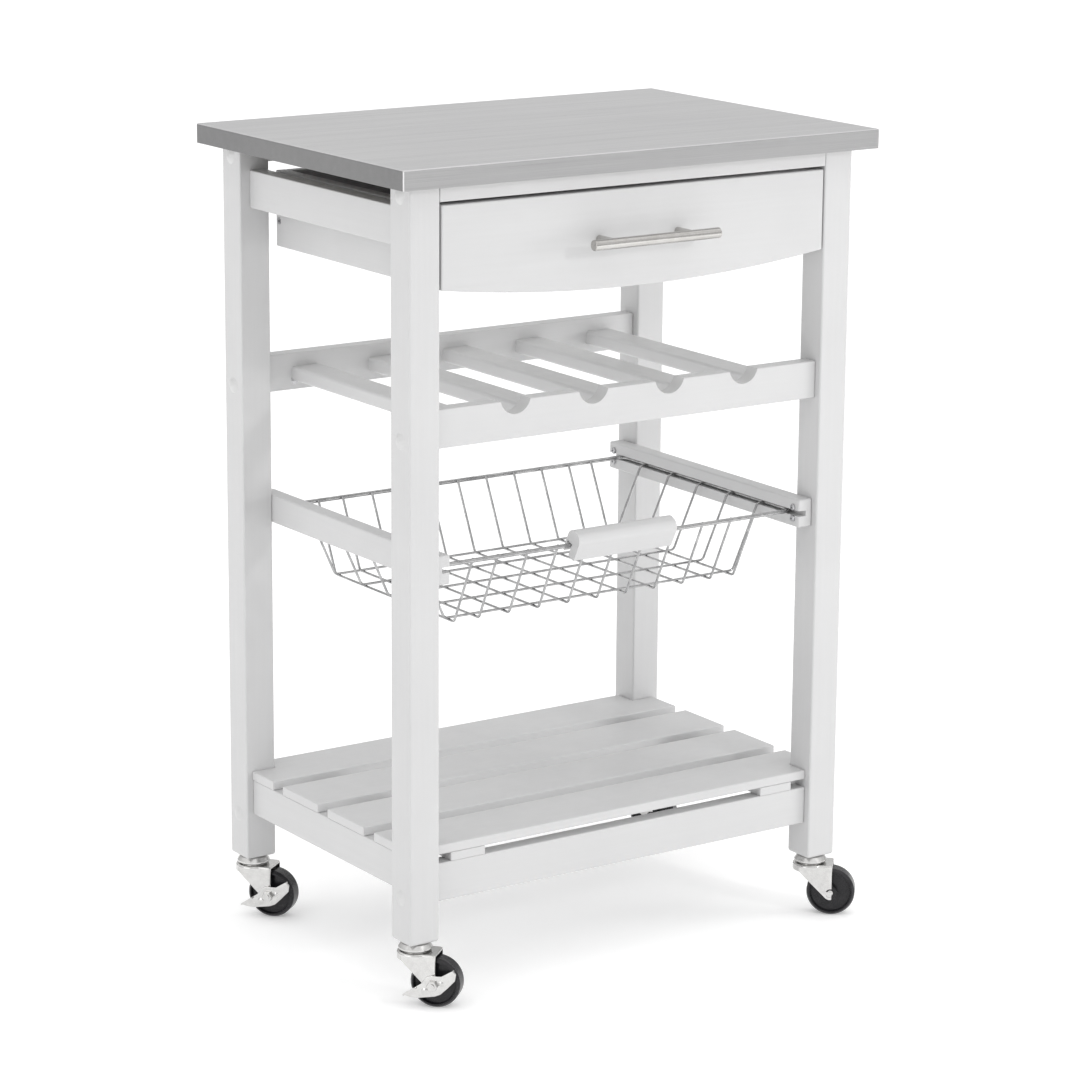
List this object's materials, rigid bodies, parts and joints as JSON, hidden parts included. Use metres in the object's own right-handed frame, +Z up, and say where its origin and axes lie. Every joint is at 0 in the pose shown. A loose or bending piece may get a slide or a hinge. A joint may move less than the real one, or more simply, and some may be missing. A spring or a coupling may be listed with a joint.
{
  "type": "rolling kitchen cart",
  "caption": "Rolling kitchen cart with a stainless worktop, bow-edged drawer, wine rack, pull-out wire basket, slatted bottom shelf and swivel casters, some with brakes",
  "frame": {"origin": "on the floor, on the vertical line through the middle of the worktop and of the four legs", "axes": "+Z up, front of the cart towards -Y, +X to the right seen from the front"},
  "size_m": [0.5832, 0.4165, 0.8522],
  "materials": {
    "white_paint": "satin white lacquer on solid wood",
    "worktop_steel": "brushed stainless steel sheet",
    "core_board": "raw particle board",
    "dowel_wood": "fluted beech dowels",
    "drawer_panel": "white foil on thin fibre board",
    "handle_nickel": "satin nickel",
    "fastener_steel": "zinc plated steel",
    "cap_plastic": "white plastic caps",
    "wire_chrome": "chromed steel wire",
    "caster_zinc": "bright zinc plated pressed steel",
    "wheel_black": "black moulded nylon"
  },
  "bodies": {
    "frame": {"leg_front_left": "white_paint", "leg_back_left": "white_paint", "leg_front_right": "white_paint", "leg_back_right": "white_paint", "apron_left": "white_paint", "basket_guide_left": "white_paint", "shelf_rail_left": "white_paint", "apron_right": "white_paint", "basket_guide_right": "white_paint", "shelf_rail_right": "white_paint", "top_rail_front": "white_paint", "rack_rail_front": "white_paint", "shelf_rail_front": "white_paint", "top_rail_back": "white_paint", "rack_rail_back": "white_paint", "shelf_rail_back": "white_paint", "rack_bar_1": "white_paint", "rack_bar_2": "white_paint", "rack_bar_3": "white_paint", "rack_bar_4": "white_paint", "rack_bar_5": "white_paint", "shelf_slat_1": "white_paint", "shelf_slat_2": "white_paint", "shelf_slat_3": "white_paint", "shelf_slat_4": "white_paint", "shelf_battens": "white_paint", "drawer_runners": "white_paint", "worktop_sheet": "worktop_steel", "worktop_core": "core_board", "frame_bolts": "fastener_steel", "frame_screws": "fastener_steel", "bolt_caps": "cap_plastic", "frame_dowels": "dowel_wood", "caster_stems": "caster_zinc"},
    "drawer": {"drawer_front": "white_paint", "drawer_side_left": "white_paint", "drawer_side_right": "white_paint", "drawer_back": "white_paint", "drawer_bottom": "drawer_panel", "drawer_screws": "fastener_steel", "drawer_handle_bar": "handle_nickel", "drawer_handle_posts": "handle_nickel"},
    "basket": {"basket_rim": "wire_chrome", "basket_long_wires": "wire_chrome", "basket_cross_wires": "wire_chrome", "basket_grip": "white_paint"},
    "fork_front_left": {"caster_fork_front_left": "caster_zinc", "caster_axle_front_left": "caster_zinc"},
    "wheel_front_left": {"caster_wheel_front_left": "wheel_black"},
    "brake_front_left": {"caster_brake_front_left": "caster_zinc"},
    "fork_back_left": {"caster_fork_back_left": "caster_zinc", "caster_axle_back_left": "caster_zinc"},
    "wheel_back_left": {"caster_wheel_back_left": "wheel_black"},
    "brake_back_left": {"caster_brake_back_left": "caster_zinc"},
    "fork_front_right": {"caster_fork_front_right": "caster_zinc", "caster_axle_front_right": "caster_zinc"},
    "wheel_front_right": {"caster_wheel_front_right": "wheel_black"},
    "fork_back_right": {"caster_fork_back_right": "caster_zinc", "caster_axle_back_right": "caster_zinc"},
    "wheel_back_right": {"caster_wheel_back_right": "wheel_black"}
  },
  "joints": [
    {"name": "drawer_slide", "type": "slide", "parent": "frame", "child": "drawer", "axis": [0, -1, 0], "range_m": [0, 0.22]},
    {"name": "basket_slide", "type": "slide", "parent": "frame", "child": "basket", "axis": [0, -1, 0], "range_m": [0, 0.25]},
    {"name": "swivel_front_left", "type": "hinge", "parent": "frame", "child": "fork_front_left", "pos_m": [-0.2525, -0.1625, 0.057], "axis": [0, 0, 1], "continuous": true},
    {"name": "roll_front_left", "type": "hinge", "parent": "fork_front_left", "child": "wheel_front_left", "pos_m": [-0.23741, -0.17986, 0.026], "axis": [0.7547, 0.6561, 0], "continuous": true},
    {"name": "brake_front_left", "type": "hinge", "parent": "fork_front_left", "child": "brake_front_left", "pos_m": [-0.23741, -0.17986, 0.026], "axis": [0.7547, 0.6561, 0], "range_deg": [0, 6]},
    {"name": "swivel_back_left", "type": "hinge", "parent": "frame", "child": "fork_back_left", "pos_m": [-0.2525, 0.1625, 0.057], "axis": [0, 0, 1], "continuous": true},
    {"name": "roll_back_left", "type": "hinge", "parent": "fork_back_left", "child": "wheel_back_left", "pos_m": [-0.23834, 0.14438, 0.026], "axis": [0.788, 0.6157, 0], "continuous": true},
    {"name": "brake_back_left", "type": "hinge", "parent": "fork_back_left", "child": "brake_back_left", "pos_m": [-0.23834, 0.14438, 0.026], "axis": [0.788, 0.6157, 0], "range_deg": [0, 6]},
    {"name": "swivel_front_right", "type": "hinge", "parent": "frame", "child": "fork_front_right", "pos_m": [0.2525, -0.1625, 0.057], "axis": [0, 0, 1], "continuous": true},
    {"name": "roll_front_right", "type": "hinge", "parent": "fork_front_right", "child": "wheel_front_right", "pos_m": [0.26959, -0.17789, 0.026], "axis": [0.6691, 0.7431, 0], "continuous": true},
    {"name": "swivel_back_right", "type": "hinge", "parent": "frame", "child": "fork_back_right", "pos_m": [0.2525, 0.1625, 0.057], "axis": [0, 0, 1], "continuous": true},
    {"name": "roll_back_right", "type": "hinge", "parent": "fork_back_right", "child": "wheel_back_right", "pos_m": [0.26728, 0.14488, 0.026], "axis": [0.766, 0.6428, 0], "continuous": true}
  ]
}
